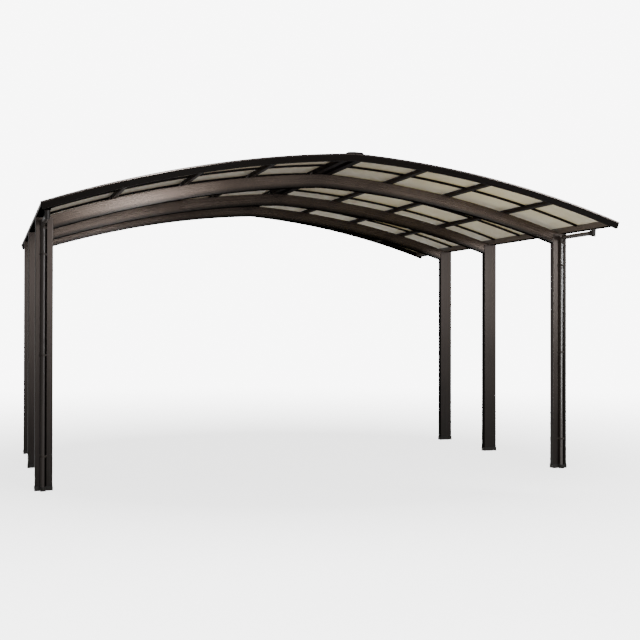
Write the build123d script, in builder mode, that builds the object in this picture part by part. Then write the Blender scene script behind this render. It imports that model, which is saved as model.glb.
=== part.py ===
"""Double carport: two curved half roofs on six posts, joined along a ridge. Millimetres, +Z up.

The origin is on the ground at the centre of the roof's footprint. +X runs across the two
parking bays, and -Y is the front edge, which is the open way in.
"""

from build123d import *
from math import asin, atan, cos, degrees, radians, sin, sqrt
import os

os.makedirs("parts", exist_ok=True)

# Roof
roof_width = 5550.0
roof_depth = 4950.0
ridge_slope = 2.9
arch_radius = 10000.0
panel_columns = 8
seat_gap = 0.3

# Glazing: sheets, glazing bars under their joints and the edge frames
sheet_below_roof_line = 6.0
sheet_thickness = 3.0
batten_depth = 20.0
batten_width = 26.0
sheet_joint = 2.0
fascia_depth = 67.0
fascia_width = 34.0
glazing_groove = 14.0

# Purlins, running front to rear on the beams
purlin_depth = 34.0
purlin_width = 45.0
purlin_wall = 2.5
upper_purlin_from_ridge = 735.0
middle_purlin_from_ridge = 1400.0
lower_purlin_from_ridge = 2070.0
ridge_purlin_width = 60.0
ridge_valley_width = 70.0

# Ridge cover
ridge_cover_width = 165.0
ridge_cover_shoulder = 14.0
ridge_cover_rise = 14.0
ridge_cover_wall = 2.5
ridge_cap_thickness = 3.0

# Eave gutters
gutter_width = 97.0
gutter_inset = 4.0
gutter_depth = 38.0
gutter_wall = 3.0
gutter_outer_lip = 8.0
gutter_cap_thickness = 3.0
sheet_overhang = 28.0

# Posts and their shoes
post_height = 2520.0
post_width = 160.0
post_thickness = 72.0
post_wall = 3.0
post_corner_radius = 7.0
front_post_from_edge = 990.0
middle_post_from_edge = 2630.0
rear_post_from_edge = 3928.0
shoe_height = 42.0
shoe_wall = 3.0

# Curved beams
beam_depth = 130.0
beam_width = 66.0
beam_wall = 3.0
beam_corner = 3.0

# Splice in the beams at the ridge
splice_length = 520.0
splice_wall = 4.0

# Brackets between purlins and beams
bracket_length = 40.0
bracket_height = 26.0
bracket_foot = 30.0
bracket_thickness = 4.0

# Drain: level pipe, downpipe and the outlets under the gutters
pipe_diameter = 46.0
pipe_wall = 2.5
pipe_from_gutter_face = 72.0
pipe_from_post = 3.0
pipe_centre_below_gutter = 41.5
pipe_bend = 34.0
pipe_bend_tail = 20.0
outlet_from_edge = 344.0
outlet_diameter = 49.0
outlet_foot_diameter = 40.0
outlet_height = 79.0
outlet_bore = 34.0
outlet_floor = 4.0
collar_diameter = 54.0
collar_length = 54.0
collar_bore = 30.0
collar_socket = 18.0

half_width = roof_width / 2
half_depth = roof_depth / 2
arch_offset = arch_radius * sin(radians(ridge_slope))
gutter_outer = half_width - gutter_inset
gutter_inner = gutter_outer - gutter_width
eave_reach = gutter_outer + arch_offset
arch_centre_height = post_height + gutter_depth - sqrt(arch_radius**2 - eave_reach**2)
ridge_height = arch_centre_height + arch_radius * cos(radians(ridge_slope))
sheet_top = arch_radius - sheet_below_roof_line
sheet_bottom = sheet_top - sheet_thickness
batten_bottom = arch_radius - batten_depth
purlin_top = batten_bottom - seat_gap
purlin_bottom = purlin_top - purlin_depth
beam_top = purlin_bottom - seat_gap
beam_bottom = beam_top - beam_depth
frame_length = roof_depth - 2 * fascia_width
panel_pitch = roof_depth / panel_columns
ridge_purlin_outer = ridge_valley_width / 2 + ridge_purlin_width
post_centre = gutter_outer - post_width / 2
post_inner = gutter_outer - post_width
pipe_centre = gutter_outer - pipe_from_gutter_face
pipe_height = post_height - pipe_centre_below_gutter
pipe_y = front_post_from_edge - half_depth - pipe_from_post - pipe_diameter / 2
outlet_y = outlet_from_edge - half_depth
sheet_eave = gutter_inner + gutter_wall + sheet_overhang

sides = {"left": -1, "right": 1}
bays = {
    "front": front_post_from_edge - half_depth,
    "middle": middle_post_from_edge - half_depth,
    "rear": rear_post_from_edge - half_depth,
}
purlins = {
    "upper": upper_purlin_from_ridge,
    "middle": middle_purlin_from_ridge,
    "lower": lower_purlin_from_ridge,
}


def save(part, name):
    """Label a finished piece and write it to its own file."""
    part.label = name
    export_step(part, f"parts/{name}.step")


def arch_angle(distance, radius=arch_radius):
    """Angle from plumb where an arc of the half roof is this far from the ridge, level."""
    return degrees(asin((distance + arch_offset) / radius))


def arch_height(distance, radius=arch_radius):
    """Height of an arc of the half roof at this level distance from the ridge."""
    return arch_centre_height + sqrt(radius**2 - (distance + arch_offset) ** 2)


def arch_centre(side):
    """Centre of one half roof's arcs: they lean past the ridge, so the roof has a kink."""
    return (-side * arch_offset, 0, arch_centre_height)


def arch_axis(side):
    """Axis that a cross section turns about, outwards from the ridge."""
    return Axis(arch_centre(side), (0, side, 0))


def arch_plane(side, angle):
    """Plane square to the arch: local x runs out from its centre, local y is +Y."""
    across = sin(radians(angle))
    up = cos(radians(angle))
    return Plane(arch_centre(side), x_dir=(side * across, 0, up), z_dir=(-up, 0, side * across))


def slope_plane(side, angle, radius):
    """Upright plane at mid depth: local x runs down the slope, local y out of the roof."""
    across = sin(radians(angle))
    up = cos(radians(angle))
    centre = arch_centre(side)
    origin = (centre[0] + side * radius * across, 0, centre[2] + radius * up)
    return Plane(origin, x_dir=(side * up, 0, -across), z_dir=(0, -side, 0))


def upright_plane(y):
    """Upright plane across the bays at depth y: local x is +X, local y is +Z."""
    return Plane((0, y, 0), x_dir=(1, 0, 0), z_dir=(0, -1, 0))


def ridge_cut(side, gap=0.0):
    """Plumb plane at the ridge that faces out to one side."""
    return Plane((side * gap, 0, 0), x_dir=(0, 1, 0), z_dir=(side, 0, 0))


def make_post(side, front_face):
    """Hollow post with rounded corners, from the ground to the gutter's underside."""
    with BuildPart() as post:
        with BuildSketch(Plane.XY):
            with Locations((side * post_centre, front_face + post_thickness / 2)):
                RectangleRounded(post_width, post_thickness, post_corner_radius)
                Rectangle(
                    post_width - 2 * post_wall,
                    post_thickness - 2 * post_wall,
                    mode=Mode.SUBTRACT,
                )
        extrude(amount=post_height)
    return post.part


def make_beam(side, front_face):
    """Hollow curved beam: its end sits on the post's head and butts on its inner face."""
    middle = front_face + post_thickness / 2
    start = arch_angle(-beam_depth / 4)
    end = arch_angle(gutter_outer, beam_bottom)
    with BuildPart() as beam:
        with BuildSketch(arch_plane(side, start)):
            with Locations((beam_top - beam_depth / 2, middle)):
                outline = Rectangle(beam_depth, beam_width)
                chamfer(outline.vertices(), beam_corner)
                Rectangle(
                    beam_depth - 2 * beam_wall,
                    beam_width - 2 * beam_wall,
                    mode=Mode.SUBTRACT,
                )
        revolve(axis=arch_axis(side), revolution_arc=end - start)
        split(bisect_by=ridge_cut(side), keep=Keep.TOP)
        split(bisect_by=ridge_cut(side, gutter_inner - seat_gap), keep=Keep.BOTTOM)
        with BuildSketch(upright_plane(middle)):
            with Locations((side * post_centre, post_height - beam_depth)):
                Rectangle(post_width, 2 * beam_depth)
        extrude(amount=post_thickness, both=True, mode=Mode.SUBTRACT)
    return beam.part


def make_splice(front_face):
    """Sleeve inside the two beams where they meet under the ridge, bent to their kink."""
    middle = front_face + post_thickness / 2
    sleeve_depth = beam_depth - 2 * beam_wall - 2 * seat_gap
    sleeve_width = beam_width - 2 * beam_wall - 2 * seat_gap
    start = arch_angle(-beam_depth / 4)
    with BuildPart() as sleeve:
        with BuildSketch(arch_plane(1, start)):
            with Locations((beam_top - beam_depth / 2, middle)):
                Rectangle(sleeve_depth, sleeve_width)
                Rectangle(
                    sleeve_depth - 2 * splice_wall,
                    sleeve_width - 2 * splice_wall,
                    mode=Mode.SUBTRACT,
                )
        revolve(axis=arch_axis(1), revolution_arc=arch_angle(splice_length / 2) - start)
        split(bisect_by=ridge_cut(1), keep=Keep.TOP)
        mirror(about=Plane.YZ)
    return sleeve.part


def make_batten_set(side):
    """Glazing bars under the joints of the sheets, from the ridge purlin to the gutter."""
    start = arch_angle(ridge_purlin_outer + seat_gap)
    end = arch_angle(gutter_inner - seat_gap)
    batten_top = sheet_bottom - seat_gap
    with BuildPart() as battens:
        with BuildSketch(arch_plane(side, start)):
            for column in range(1, panel_columns):
                y = column * panel_pitch - half_depth
                with Locations(((batten_bottom + batten_top) / 2, y)):
                    Rectangle(batten_top - batten_bottom, batten_width)
        revolve(axis=arch_axis(side), revolution_arc=end - start)
    return battens.part


def make_panel_set(side):
    """Clear sheets, one to a column, from the ridge purlin's groove to over the gutter."""
    start = arch_angle(ridge_purlin_outer - glazing_groove + seat_gap)
    end = arch_angle(sheet_eave)
    edge = half_depth - fascia_width + glazing_groove - seat_gap
    joint = sheet_joint / 2
    with BuildPart() as panels:
        with BuildSketch(arch_plane(side, start)):
            for column in range(panel_columns):
                low = max(column * panel_pitch - half_depth + joint, -edge)
                high = min((column + 1) * panel_pitch - half_depth - joint, edge)
                with Locations(((sheet_top + sheet_bottom) / 2, (low + high) / 2)):
                    Rectangle(sheet_thickness, high - low)
        revolve(axis=arch_axis(side), revolution_arc=end - start)
    return panels.part


def make_fascia(side, end):
    """Curved edge frame with a groove for the sheet, from the ridge to the eave."""
    outer = end * half_depth
    start = arch_angle(-fascia_depth / 4)
    with BuildPart() as fascia:
        with BuildSketch(arch_plane(side, start)):
            with Locations((arch_radius - fascia_depth / 2, outer - end * fascia_width / 2)):
                Rectangle(fascia_depth, fascia_width)
            groove_middle = outer - end * (fascia_width - glazing_groove / 2)
            with Locations(((sheet_top + sheet_bottom) / 2, groove_middle)):
                Rectangle(sheet_thickness + 2 * seat_gap, glazing_groove, mode=Mode.SUBTRACT)
        revolve(axis=arch_axis(side), revolution_arc=arch_angle(half_width) - start)
        split(bisect_by=ridge_cut(side), keep=Keep.TOP)
    return fascia.part


def make_purlin(side, distance):
    """Hollow box purlin, square to the slope where it crosses the beams."""
    radius = purlin_top - purlin_depth / 2
    with BuildPart() as purlin:
        with BuildSketch(slope_plane(side, arch_angle(distance), radius)):
            Rectangle(purlin_width, purlin_depth)
            Rectangle(
                purlin_width - 2 * purlin_wall,
                purlin_depth - 2 * purlin_wall,
                mode=Mode.SUBTRACT,
            )
        extrude(amount=frame_length / 2, both=True)
    return purlin.part


def make_ridge_purlin(side):
    """Ridge purlin: a deeper box whose outer face takes the sheets' upper edges."""
    depth = arch_radius - purlin_bottom
    radius = arch_radius - depth / 2
    middle = ridge_purlin_outer - ridge_purlin_width / 2
    chamber_depth = depth - batten_depth - 2 * purlin_wall
    groove_height = arch_radius - radius - sheet_below_roof_line - sheet_thickness / 2
    with BuildPart() as purlin:
        with BuildSketch(slope_plane(side, arch_angle(middle), radius)):
            Rectangle(ridge_purlin_width, depth)
            with Locations((0, (chamber_depth - depth) / 2 + purlin_wall)):
                Rectangle(
                    ridge_purlin_width - 2 * purlin_wall, chamber_depth, mode=Mode.SUBTRACT
                )
            with Locations(((ridge_purlin_width - glazing_groove) / 2, groove_height)):
                Rectangle(glazing_groove, sheet_thickness + 4 * seat_gap, mode=Mode.SUBTRACT)
        extrude(amount=frame_length / 2, both=True)
    return purlin.part


def make_ridge_cover():
    """Folded cover over the valley between the two ridge purlins."""
    half = ridge_cover_width / 2
    bend = half - ridge_cover_shoulder
    foot = arch_height(half) + seat_gap
    inner_half = half - ridge_cover_wall * 1.5
    with BuildPart() as cover:
        with BuildSketch(upright_plane(0)):
            with BuildLine():
                Polyline(
                    (half, foot),
                    (bend, arch_height(bend) + ridge_cover_rise),
                    (0, ridge_height + ridge_cover_rise),
                    (0, ridge_height + ridge_cover_rise - ridge_cover_wall),
                    (bend, arch_height(bend) + ridge_cover_rise - ridge_cover_wall),
                    (inner_half, arch_height(inner_half) + seat_gap),
                    close=True,
                )
            make_face()
            mirror(about=Plane.YZ)
        extrude(amount=half_depth - ridge_cap_thickness, both=True)
    return cover.part


def make_ridge_caps():
    """Plates that close the cover's two ends, above the fascias."""
    half = ridge_cover_width / 2
    bend = half - ridge_cover_shoulder
    with BuildPart() as caps:
        for end in (-1, 1):
            with BuildSketch(upright_plane(end * half_depth)):
                with BuildLine():
                    Polyline(
                        (0, ridge_height + seat_gap),
                        (half, arch_height(half) + seat_gap * 2),
                        (bend, arch_height(bend) + ridge_cover_rise),
                        (0, ridge_height + ridge_cover_rise),
                        close=True,
                    )
                make_face()
                mirror(about=Plane.YZ)
            extrude(amount=end * ridge_cap_thickness)
    return caps.part


def gutter_outline(side):
    """Corners of the gutter's outer shape: inner top, inner foot, outer foot, outer top."""
    inner_top = arch_height(gutter_inner, sheet_bottom) - 2 * seat_gap
    outer_top = arch_height(gutter_outer) - seat_gap
    return [
        (side * gutter_inner, inner_top),
        (side * gutter_inner, post_height),
        (side * gutter_outer, post_height),
        (side * gutter_outer, outer_top),
    ]


def make_gutter(side):
    """Eave gutter: an open trough under the sheets' lower edge, with its outlet hole."""
    inner_top, inner_foot, outer_foot, outer_top = gutter_outline(side)
    wall = side * gutter_wall
    floor = post_height + gutter_wall
    slope = (arch_height(gutter_inner) - arch_height(gutter_inner + gutter_wall)) * side / wall
    with BuildPart() as gutter:
        with BuildSketch(upright_plane(0)):
            with BuildLine():
                Polyline(
                    inner_top,
                    inner_foot,
                    outer_foot,
                    outer_top,
                    (outer_top[0] - side * gutter_outer_lip, outer_top[1]),
                    (outer_top[0] - side * gutter_outer_lip, outer_top[1] - gutter_wall),
                    (outer_top[0] - wall, outer_top[1] - gutter_wall),
                    (outer_foot[0] - wall, floor),
                    (inner_foot[0] + wall, floor),
                    (inner_top[0] + wall, inner_top[1] - slope * gutter_wall),
                    close=True,
                )
            make_face()
        extrude(amount=frame_length / 2 - gutter_cap_thickness, both=True)
        with Locations((side * pipe_centre, outlet_y, floor)):
            Hole(outlet_bore / 2, depth=2 * gutter_wall)
    return gutter.part


def make_gutter_caps():
    """Plates that close the four gutter ends, inside the fascias and below the sheets."""
    outer_top = arch_height(gutter_outer, sheet_bottom) - 2 * seat_gap
    with BuildPart() as caps:
        for side in sides.values():
            corners = gutter_outline(side)[:3]
            for end in (-1, 1):
                with BuildSketch(upright_plane(end * frame_length / 2)):
                    with BuildLine():
                        Polyline(*corners, (side * gutter_outer, outer_top), close=True)
                    make_face()
                extrude(amount=end * gutter_cap_thickness)
    return caps.part


def make_shoes():
    """Collars round the feet of the posts, with a cup for the downpipe at the front ones."""
    with BuildPart() as shoes:
        for side in sides.values():
            for name, front_face in bays.items():
                foot = (side * post_centre, front_face + post_thickness / 2)
                with BuildSketch(Plane.XY):
                    with Locations(foot):
                        outline = Rectangle(
                            post_width + 2 * shoe_wall, post_thickness + 2 * shoe_wall
                        )
                        chamfer(outline.vertices(), shoe_wall)
                    if name == "front":
                        with Locations((side * pipe_centre, pipe_y)):
                            Circle(pipe_diameter / 2 + shoe_wall)
                            Circle(pipe_diameter / 2 + seat_gap, mode=Mode.SUBTRACT)
                    with Locations(foot):
                        Rectangle(
                            post_width + 2 * seat_gap,
                            post_thickness + 2 * seat_gap,
                            mode=Mode.SUBTRACT,
                        )
                extrude(amount=shoe_height)
    return shoes.part


def make_brackets():
    """Angle cleats on the beams, against the lower face of each purlin."""
    places = {"ridge": ridge_purlin_outer - ridge_purlin_width / 2, **purlins}
    with BuildPart() as brackets:
        for side in sides.values():
            for name, distance in places.items():
                width = ridge_purlin_width if name == "ridge" else purlin_width
                seat = slope_plane(side, arch_angle(distance), beam_top + seat_gap)
                for front_face in bays.values():
                    middle = front_face + post_thickness / 2
                    plane = Plane(
                        (seat.origin.X, middle, seat.origin.Z), x_dir=seat.x_dir, z_dir=seat.z_dir
                    )
                    with BuildSketch(plane):
                        with Locations((width / 2 + seat_gap, 0)):
                            Rectangle(
                                bracket_foot, bracket_thickness, align=(Align.MIN, Align.MIN)
                            )
                            Rectangle(
                                bracket_thickness, bracket_height, align=(Align.MIN, Align.MIN)
                            )
                    extrude(amount=bracket_length / 2, both=True)
    return brackets.part


def make_outlets():
    """Funnels under the front ends of the gutters, each with a collar to the rear."""
    slant = degrees(atan((outlet_diameter - outlet_foot_diameter) / 2 / outlet_height))
    with BuildPart() as outlets:
        for side in sides.values():
            collar_face = upright_plane(outlet_y + collar_length)
            with BuildSketch(Plane.XY.offset(post_height)):
                with Locations((side * pipe_centre, outlet_y)):
                    Circle(outlet_diameter / 2)
            extrude(amount=-outlet_height, taper=slant)
            with BuildSketch(collar_face):
                with Locations((side * pipe_centre, pipe_height)):
                    Circle(collar_diameter / 2)
            extrude(amount=collar_length - outlet_foot_diameter / 4)
            with BuildSketch(Plane.XY.offset(post_height)):
                with Locations((side * pipe_centre, outlet_y)):
                    Circle(outlet_bore / 2)
            extrude(amount=outlet_floor - outlet_height, mode=Mode.SUBTRACT)
            with BuildSketch(collar_face):
                with Locations((side * pipe_centre, pipe_height)):
                    Circle(collar_bore / 2)
            extrude(amount=collar_length, mode=Mode.SUBTRACT)
            with BuildSketch(collar_face):
                with Locations((side * pipe_centre, pipe_height)):
                    Circle(pipe_diameter / 2 + seat_gap)
            extrude(amount=collar_socket, mode=Mode.SUBTRACT)
    return outlets.part


def make_drain_pipe(side):
    """Level pipe from the outlet's collar back to the downpipe's bend."""
    start = outlet_y + collar_length - collar_socket + seat_gap
    end = pipe_y - pipe_bend - pipe_bend_tail
    with BuildPart() as pipe:
        with BuildSketch(upright_plane(start)):
            with Locations((side * pipe_centre, pipe_height)):
                Circle(pipe_diameter / 2)
                Circle(pipe_diameter / 2 - pipe_wall, mode=Mode.SUBTRACT)
        extrude(amount=start - end)
    return pipe.part


def make_downpipe(side):
    """Downpipe by the post's front face, with a bend of mitred stretches at its head."""
    with BuildPart() as pipe:
        with BuildSketch(Plane.XY):
            with Locations((side * pipe_centre, pipe_y)):
                Circle(pipe_diameter / 2)
                Circle(pipe_diameter / 2 - pipe_wall, mode=Mode.SUBTRACT)
        with BuildLine():
            Polyline(
                (side * pipe_centre, pipe_y, 0),
                (side * pipe_centre, pipe_y, pipe_height - pipe_bend),
                (side * pipe_centre, pipe_y - pipe_bend, pipe_height),
                (side * pipe_centre, pipe_y - pipe_bend - pipe_bend_tail, pipe_height),
            )
        sweep(transition=Transition.RIGHT)
    return pipe.part


for side_name, side in sides.items():
    for bay, front_face in bays.items():
        save(make_post(side, front_face), f"{side_name}_{bay}_post")
        save(make_beam(side, front_face), f"{side_name}_{bay}_beam")
    for place, distance in purlins.items():
        save(make_purlin(side, distance), f"{side_name}_{place}_purlin")
    save(make_ridge_purlin(side), f"{side_name}_ridge_purlin")
    save(make_gutter(side), f"{side_name}_eave_gutter")
    save(make_fascia(side, -1), f"{side_name}_front_fascia")
    save(make_fascia(side, 1), f"{side_name}_rear_fascia")
    save(make_batten_set(side), f"{side_name}_battens")
    save(make_panel_set(side), f"{side_name}_panels")
    save(make_drain_pipe(side), f"{side_name}_drain_pipe")
    save(make_downpipe(side), f"{side_name}_downpipe")

for bay, front_face in bays.items():
    save(make_splice(front_face), f"{bay}_ridge_splice")

save(make_ridge_cover(), "ridge_cover")
save(make_ridge_caps(), "ridge_end_caps")
save(make_gutter_caps(), "gutter_end_caps")
save(make_shoes(), "post_shoes")
save(make_brackets(), "purlin_brackets")
save(make_outlets(), "drain_outlets")
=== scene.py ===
"""Look of the double carport: finishes, small parts, floor, lights and camera.

Metres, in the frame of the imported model: +X across the bays, +Y to the rear, +Z up.
"""

from __future__ import annotations

import logging
import math
from dataclasses import dataclass
from enum import Enum
from typing import Any, Callable, Iterable, Sequence

import bpy
from mathutils import Matrix, Vector


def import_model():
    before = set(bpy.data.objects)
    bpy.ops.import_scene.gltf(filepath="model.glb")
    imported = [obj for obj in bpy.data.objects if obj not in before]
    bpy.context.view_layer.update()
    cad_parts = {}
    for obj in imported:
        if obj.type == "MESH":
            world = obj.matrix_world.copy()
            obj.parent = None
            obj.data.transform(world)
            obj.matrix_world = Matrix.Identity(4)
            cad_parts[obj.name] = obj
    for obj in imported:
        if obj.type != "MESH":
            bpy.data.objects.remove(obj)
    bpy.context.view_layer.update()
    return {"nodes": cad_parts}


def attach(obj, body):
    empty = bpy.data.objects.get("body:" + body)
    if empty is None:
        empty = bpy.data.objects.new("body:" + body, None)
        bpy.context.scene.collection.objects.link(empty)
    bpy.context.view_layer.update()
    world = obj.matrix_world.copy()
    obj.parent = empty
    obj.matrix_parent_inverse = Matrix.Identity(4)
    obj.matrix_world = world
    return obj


Piece = bpy.types.Object
Triple = tuple[float, float, float]
Pair = tuple[float, float]

LOG = logging.getLogger("carport")
SIDES = {"left": -1, "right": 1}
ENDS = {"front": -1, "rear": 1}
FRONT_FACES = {"front": -1.485, "middle": 0.155, "rear": 1.453}
DEEP_SHADE = (0.0022, 0.0018, 0.0015)
# Colour of the painted shade that darkens the posts towards their feet.
PAINTED_FOOT_SHADE = (0.004, 0.003, 0.0025)


def at(*spot: float) -> Matrix:
    """Place at a point, without a turn."""
    return Matrix.Translation(spot)


def facing(spot: Sequence[float], out: Sequence[float]) -> Matrix:
    """Place of a part that stands out of a surface.

    Args:
        spot: the point on the surface.
        out: the direction out of the surface.

    Returns:
        A matrix whose Z runs along that direction.
    """
    turn = Vector(out).to_track_quat("Z", "Y").to_matrix().to_4x4()
    return Matrix.Translation(Vector(spot)) @ turn


@dataclass(frozen=True)
class RoofShape:
    """The half roofs' arcs and the places of what they carry."""

    half_width: float = 2.775
    half_depth: float = 2.475
    ridge_slope: float = 2.9
    arch_radius: float = 10.0
    panel_columns: int = 8
    sheet_top: float = 9.994
    sheet_bottom: float = 9.991
    bar_bottom: float = 9.980
    fascia_depth: float = 0.067
    fascia_width: float = 0.034
    purlin_width: float = 0.045
    ridge_purlin_width: float = 0.060
    ridge_purlin_middle: float = 0.065
    purlin_places: Triple = (0.735, 1.400, 2.070)
    beam_top: float = 9.9454
    beam_bottom: float = 9.8154
    beam_width: float = 0.066
    gutter_outer: float = 2.771
    gutter_inner: float = 2.674
    gutter_depth: float = 0.038
    post_height: float = 2.520
    post_width: float = 0.160
    post_thickness: float = 0.072

    @property
    def offset(self) -> float:
        """How far each arc's centre lies past the ridge."""
        return self.arch_radius * math.sin(math.radians(self.ridge_slope))

    @property
    def centre_height(self) -> float:
        """Height of the arcs' centres, which is below the ground."""
        reach = self.gutter_outer + self.offset
        rise = math.sqrt(self.arch_radius**2 - reach**2)
        return self.post_height + self.gutter_depth - rise

    @property
    def pitch(self) -> float:
        """Depth from one glazing bar to the next."""
        return 2 * self.half_depth / self.panel_columns

    @property
    def glazed_from(self) -> float:
        """Level distance from the ridge at which the sheets leave the ridge purlins."""
        return self.ridge_purlin_middle + self.ridge_purlin_width / 2

    @property
    def post_inner(self) -> float:
        """Level distance from the ridge to the posts' inner sides."""
        return self.gutter_outer - self.post_width

    @property
    def post_middles(self) -> list[float]:
        """Depths of the posts' and beams' middles."""
        return [front + self.post_thickness / 2 for front in FRONT_FACES.values()]

    @property
    def batten_lines(self) -> list[float]:
        """Depths of the glazing bars."""
        return [k * self.pitch - self.half_depth for k in range(1, self.panel_columns)]

    def angle(self, distance: float) -> float:
        """Angle from plumb, in radians, at a level distance from the ridge."""
        return math.asin((distance + self.offset) / self.arch_radius)

    def height(self, distance: float, radius: float) -> float:
        """Height of an arc at a level distance from the ridge."""
        return self.centre_height + math.sqrt(radius**2 - (distance + self.offset) ** 2)

    def centre(self, side: int) -> Vector:
        """Centre of one half roof's arcs."""
        return Vector((-side * self.offset, 0.0, self.centre_height))

    def seat(self, side: int, distance: float, radius: float, y: float) -> Matrix:
        """Place on the slope.

        Args:
            side: -1 for left, 1 for right.
            distance: level distance from the ridge to the point on the roof line.
            radius: distance from the arcs' centre.
            y: depth of the place.

        Returns:
            A matrix whose X runs down the slope and whose Z stands out of the roof.
        """
        angle = self.angle(distance)
        down = Vector((side * math.cos(angle), 0.0, -math.sin(angle)))
        out = Vector((side * math.sin(angle), 0.0, math.cos(angle)))
        spot = self.centre(side) + out * radius + Vector((0.0, y, 0.0))
        turn = Matrix((down, out.cross(down), out)).transposed().to_4x4()
        return Matrix.Translation(spot) @ turn


class Workbench:
    """Modelling steps that the sub-assemblies share, done with Blender's own operators."""

    def __init__(self, shape: RoofShape) -> None:
        """Keeps the roof's shape for the curved pieces."""
        self.shape = shape

    def select(self, *pieces: Piece) -> None:
        """Leaves edit mode and selects these pieces alone.

        Args:
            pieces: the pieces, of which the first becomes the active one.
        """
        active = bpy.context.view_layer.objects.active
        if active is not None and active.mode != "OBJECT":
            bpy.ops.object.mode_set(mode="OBJECT")
        bpy.ops.object.select_all(action="DESELECT")
        for piece in pieces:
            piece.select_set(True)
        if pieces:
            bpy.context.view_layer.objects.active = pieces[0]

    def open_mesh(
        self, size: Sequence[float] = (1.0, 1.0, 1.0), corner: float = 0.0, segments: int = 0
    ) -> Piece:
        """Opens the active piece's whole mesh for editing.

        Args:
            size: what it is scaled by first.
            corner: how far a flat section's corners are rounded.
            segments: how many steps go round a corner, 0 for none.

        Returns:
            The piece.
        """
        piece = bpy.context.object
        piece.scale = size
        bpy.ops.object.transform_apply(location=True, rotation=True, scale=True)
        bpy.ops.object.mode_set(mode="EDIT")
        bpy.ops.mesh.select_all(action="SELECT")
        if segments:
            bpy.ops.mesh.bevel(offset=corner, segments=segments, affect="VERTICES")
            bpy.ops.mesh.select_all(action="SELECT")
        return piece

    def settle(self, piece: Piece, smooth: float = 35.0) -> Piece:
        """Finishes a mesh: merged, closed, facing outwards and smoothed by angle.

        Args:
            piece: the mesh that was modelled.
            smooth: angle in degrees under which an edge is smooth.

        Returns:
            The same piece.
        """
        self.select(piece)
        self.open_mesh()
        bpy.ops.mesh.remove_doubles(threshold=1e-6)
        bpy.ops.mesh.normals_make_consistent(inside=False)
        bpy.ops.object.mode_set(mode="OBJECT")
        bpy.ops.object.shade_smooth_by_angle(angle=math.radians(smooth))
        return piece

    def strip(
        self, side: int, radii: Pair, y: float, width: float, reach: Pair, corner: float,
        steps: int,
    ) -> Piece:
        """Bar with rounded corners that follows the arch.

        Args:
            side: -1 for left, 1 for right.
            radii: its lower and upper faces' distances from the arcs' centre.
            y: the depth of its middle.
            width: its width from front to rear.
            reach: its ends' level distances from the ridge.
            corner: how far its corners are rounded.
            steps: how many stretches it is made of.

        Returns:
            The bar.
        """
        self.select()
        start, end = (self.shape.angle(distance) for distance in reach)
        out = Vector((side * math.sin(start), 0.0, math.cos(start)))
        centre = self.shape.centre(side)
        middle = centre + out * sum(radii) / 2
        middle.y = y
        tilt = math.atan2(-out.z, out.x)
        bpy.ops.mesh.primitive_plane_add(size=1.0, location=middle, rotation=(0.0, tilt, 0.0))
        piece = self.open_mesh((radii[1] - radii[0], width, 1.0), corner, segments=3)
        axis = (0.0, float(side), 0.0)
        bpy.ops.mesh.spin(steps=steps, angle=start - end, center=centre, axis=axis)
        return self.settle(piece)

    def bar(self, size: Sequence[float], place: Matrix, edge: float) -> Piece:
        """Straight bar or plate with rounded edges.

        Args:
            size: its sides along its own X, Y and Z.
            place: where its middle goes.
            edge: how far its edges are rounded.

        Returns:
            The bar.
        """
        self.select()
        bpy.ops.mesh.primitive_cube_add(size=1.0)
        piece = self.open_mesh(size)
        bpy.ops.mesh.bevel(offset=edge, segments=2, affect="EDGES")
        bpy.ops.object.mode_set(mode="OBJECT")
        piece.matrix_world = place
        return self.settle(piece)

    def turned(self, outline: Sequence[Pair], sides: int) -> Piece:
        """Round or many-sided piece grown upwards from a disc.

        Args:
            outline: radius and height of each step, from the foot up.
            sides: how many sides the disc has.

        Returns:
            The piece, upright on the origin.
        """
        self.select()
        radius, height = outline[0]
        bpy.ops.mesh.primitive_circle_add(
            vertices=sides, radius=radius, fill_type="NGON", location=(0.0, 0.0, height)
        )
        piece = self.open_mesh()
        for new_radius, new_height in outline[1:]:
            step = {"value": (0.0, 0.0, new_height - height)}
            bpy.ops.mesh.extrude_region_move(TRANSFORM_OT_translate=step)
            ratio = new_radius / radius
            middle = (0.0, 0.0, new_height)
            bpy.ops.transform.resize(value=(ratio, ratio, 1.0), center_override=middle)
            radius, height = new_radius, new_height
        return self.settle(piece)

    def ring(self, radii: Pair, heights: Pair, corner: float, place: Matrix) -> Piece:
        """Closed ring about its place's Z axis, with rounded corners.

        Args:
            radii: inner and outer radius.
            heights: lower and upper height.
            corner: how far the corners of its section are rounded.
            place: where it goes.

        Returns:
            The ring.
        """
        self.select()
        middle = (sum(radii) / 2, 0.0, sum(heights) / 2)
        upright = (math.pi / 2, 0.0, 0.0)
        bpy.ops.mesh.primitive_plane_add(size=1.0, location=middle, rotation=upright)
        size = (radii[1] - radii[0], heights[1] - heights[0], 1.0)
        piece = self.open_mesh(size, corner, segments=2)
        bpy.ops.mesh.delete(type="ONLY_FACE")
        bpy.ops.mesh.select_all(action="SELECT")
        centre, axis = (0.0, 0.0, 0.0), (0.0, 0.0, 1.0)
        bpy.ops.mesh.spin(steps=32, angle=2 * math.pi, center=centre, axis=axis)
        self.settle(piece)
        piece.data.transform(place)
        return piece

    def copies(self, master: Piece, places: Iterable[Matrix]) -> list[Piece]:
        """Sets a copy of a master piece at each place.

        Args:
            master: the piece at the origin; it is used up.
            places: where the copies go.

        Returns:
            The copies.
        """
        made = []
        for place in places:
            twin = master.copy()
            twin.data = master.data.copy()
            twin.data.transform(place)
            bpy.context.collection.objects.link(twin)
            made.append(twin)
        self.select(master)
        bpy.ops.object.delete()
        return made

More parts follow.
